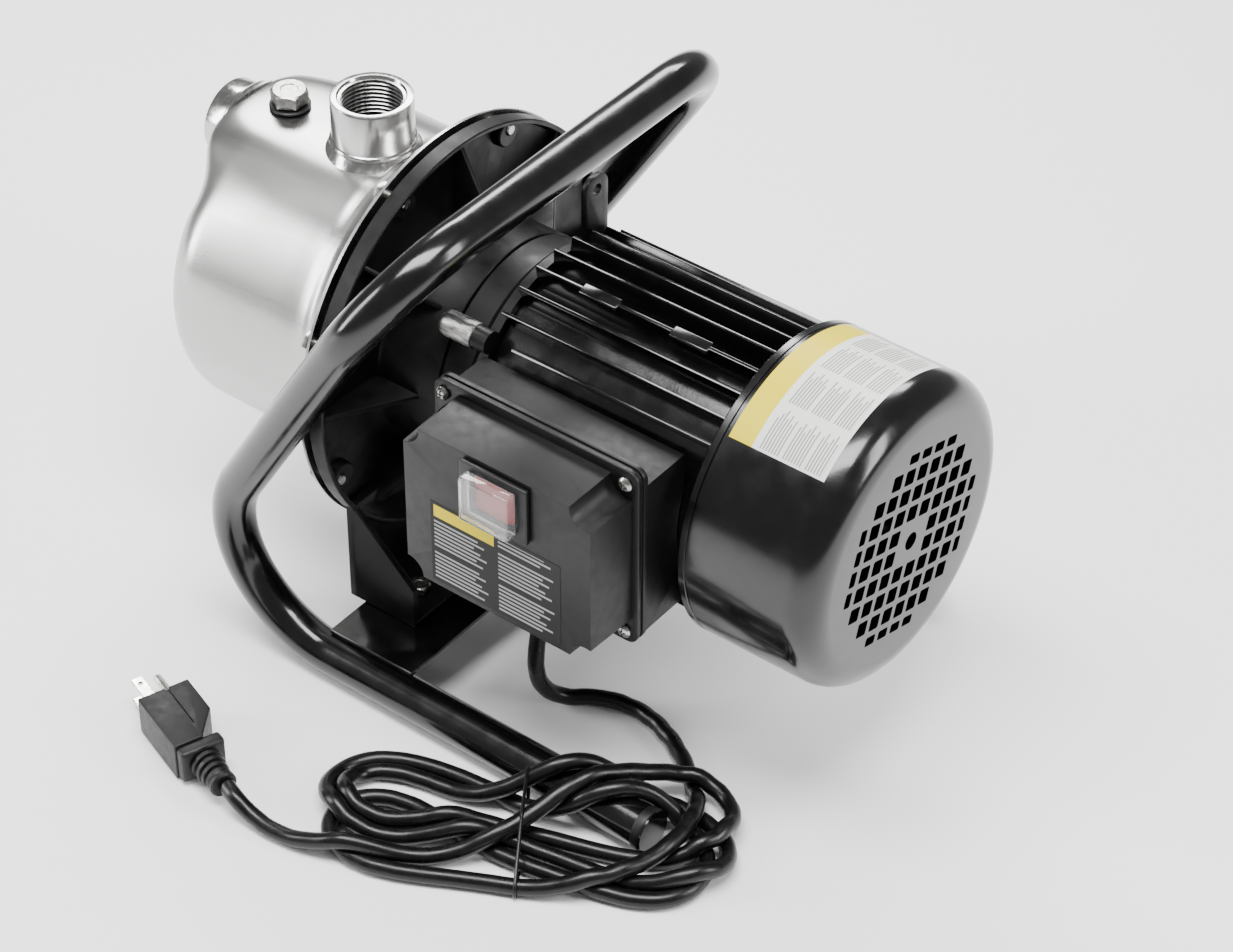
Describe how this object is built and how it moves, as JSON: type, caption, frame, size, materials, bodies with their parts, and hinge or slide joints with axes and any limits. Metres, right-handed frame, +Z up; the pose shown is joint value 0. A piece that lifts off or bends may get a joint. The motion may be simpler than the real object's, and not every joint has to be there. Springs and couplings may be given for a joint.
{
  "type": "shallow well jet pump",
  "caption": "Self-priming jet pump: pressed stainless casing with threaded ports, finned motor with switch box, tubular carrying stand, cord and plug.",
  "frame": {"origin": "on the floor under the middle of the pump and stand, without the cord", "axes": "+X from the suction port towards the motor fan, +Z up, -Y towards the terminal box"},
  "size_m": [0.4184, 0.3667, 0.2819],
  "materials": {
    "stainless": "polished pressed stainless steel",
    "gloss_black": "gloss black powder coat on steel tube and plate",
    "casting": "die cast aluminium painted satin black",
    "motor_black": "finned aluminium painted gloss black",
    "cover_black": "pressed steel painted gloss black",
    "box_plastic": "satin dark grey moulded plastic",
    "switch_black": "satin black plastic",
    "switch_red": "gloss red plastic",
    "clear_cap": "clear flexible plastic splash cap",
    "zinc": "zinc plated steel",
    "shaft_steel": "ground steel",
    "lamination": "stacked electrical steel",
    "winding": "varnished copper winding",
    "pump_plastic": "glass filled black plastic",
    "brass": "cast and turned brass",
    "seal_ceramic": "ceramic seal face",
    "seal_carbon": "carbon seal face and spring cup",
    "rubber": "black rubber",
    "capacitor_grey": "grey plastic can",
    "cord_black": "satin black cord jacket",
    "plug_black": "matte black moulded plug",
    "plug_blade": "nickel plated brass"
  },
  "bodies": {
    "pump": {"stand_tube": "gloss_black", "foot_plate": "gloss_black", "foot_bolt_1": "zinc", "foot_bolt_2": "zinc", "motor_bracket": "casting", "pump_casing": "stainless", "suction_port": "stainless", "discharge_port": "stainless", "casing_oring": "rubber", "seal_plate": "stainless", "diffuser": "pump_plastic", "venturi_tube": "pump_plastic", "jet_nozzle": "brass", "seal_seat": "seal_ceramic", "front_bearing": "shaft_steel", "front_end_shield": "casting", "motor_housing": "motor_black", "stator_core": "lamination", "winding_front": "winding", "winding_rear": "winding", "rear_bearing": "shaft_steel", "rear_end_shield": "casting", "fan_cover": "cover_black", "terminal_box_base": "box_plastic", "box_gasket": "rubber", "box_cover": "box_plastic", "cover_screw_1": "zinc", "cover_screw_2": "zinc", "cover_screw_3": "zinc", "cover_screw_4": "zinc", "switch_frame": "switch_black", "switch_cap": "clear_cap", "capacitor": "capacitor_grey", "cord_gland": "rubber", "cord_drop": "cord_black", "cord_hank": "cord_black", "cord_lead": "cord_black", "plug_body": "plug_black", "blade_left": "plug_blade", "blade_right": "plug_blade", "ground_pin": "plug_blade", "casing_bolt_1": "zinc", "casing_bolt_2": "zinc", "casing_bolt_3": "zinc", "casing_bolt_4": "zinc", "casing_bolt_5": "zinc", "casing_bolt_6": "zinc", "casing_bolt_7": "zinc", "casing_bolt_8": "zinc"},
    "rotor": {"rotor_shaft": "shaft_steel", "rotor_core": "lamination", "impeller": "brass", "impeller_nut": "brass", "seal_ring": "seal_carbon", "cooling_fan": "pump_plastic"},
    "fill_lift": {"fill_washer": "rubber"},
    "fill_plug": {"fill_plug": "zinc"},
    "drain_lift": {"drain_washer": "rubber"},
    "drain_plug": {"drain_plug": "zinc"},
    "switch_rocker": {"switch_rocker": "switch_red"}
  },
  "joints": [
    {"name": "rotor_spin", "type": "hinge", "parent": "pump", "child": "rotor", "pos_m": [-0.05665, 0, 0.1455], "axis": [1, 0, 0], "continuous": true},
    {"name": "fill_turn", "type": "hinge", "parent": "fill_lift", "child": "fill_plug", "pos_m": [-0.16765, 0, 0.2295], "axis": [0, 0, 1], "range_deg": [0, 2424]},
    {"name": "fill_lift", "type": "slide", "parent": "pump", "child": "fill_lift", "axis": [0, 0, 1], "range_m": [0, 0.01]},
    {"name": "drain_turn", "type": "hinge", "parent": "drain_lift", "child": "drain_plug", "pos_m": [-0.18615, 0, 0.0915], "axis": [-1, 0, 0], "range_deg": [0, 2424]},
    {"name": "drain_lift", "type": "slide", "parent": "pump", "child": "drain_lift", "axis": [-1, 0, 0], "range_m": [0, 0.01]},
    {"name": "switch_rock", "type": "hinge", "parent": "pump", "child": "switch_rocker", "pos_m": [0.06255, -0.118, 0.1758], "axis": [1, 0, 0], "range_deg": [-16, 0]}
  ],
  "couplings": [
    {"joint": "fill_turn", "follows": "fill_lift", "rad_per_m": 4188.8},
    {"joint": "drain_turn", "follows": "drain_lift", "rad_per_m": 4188.8}
  ]
}
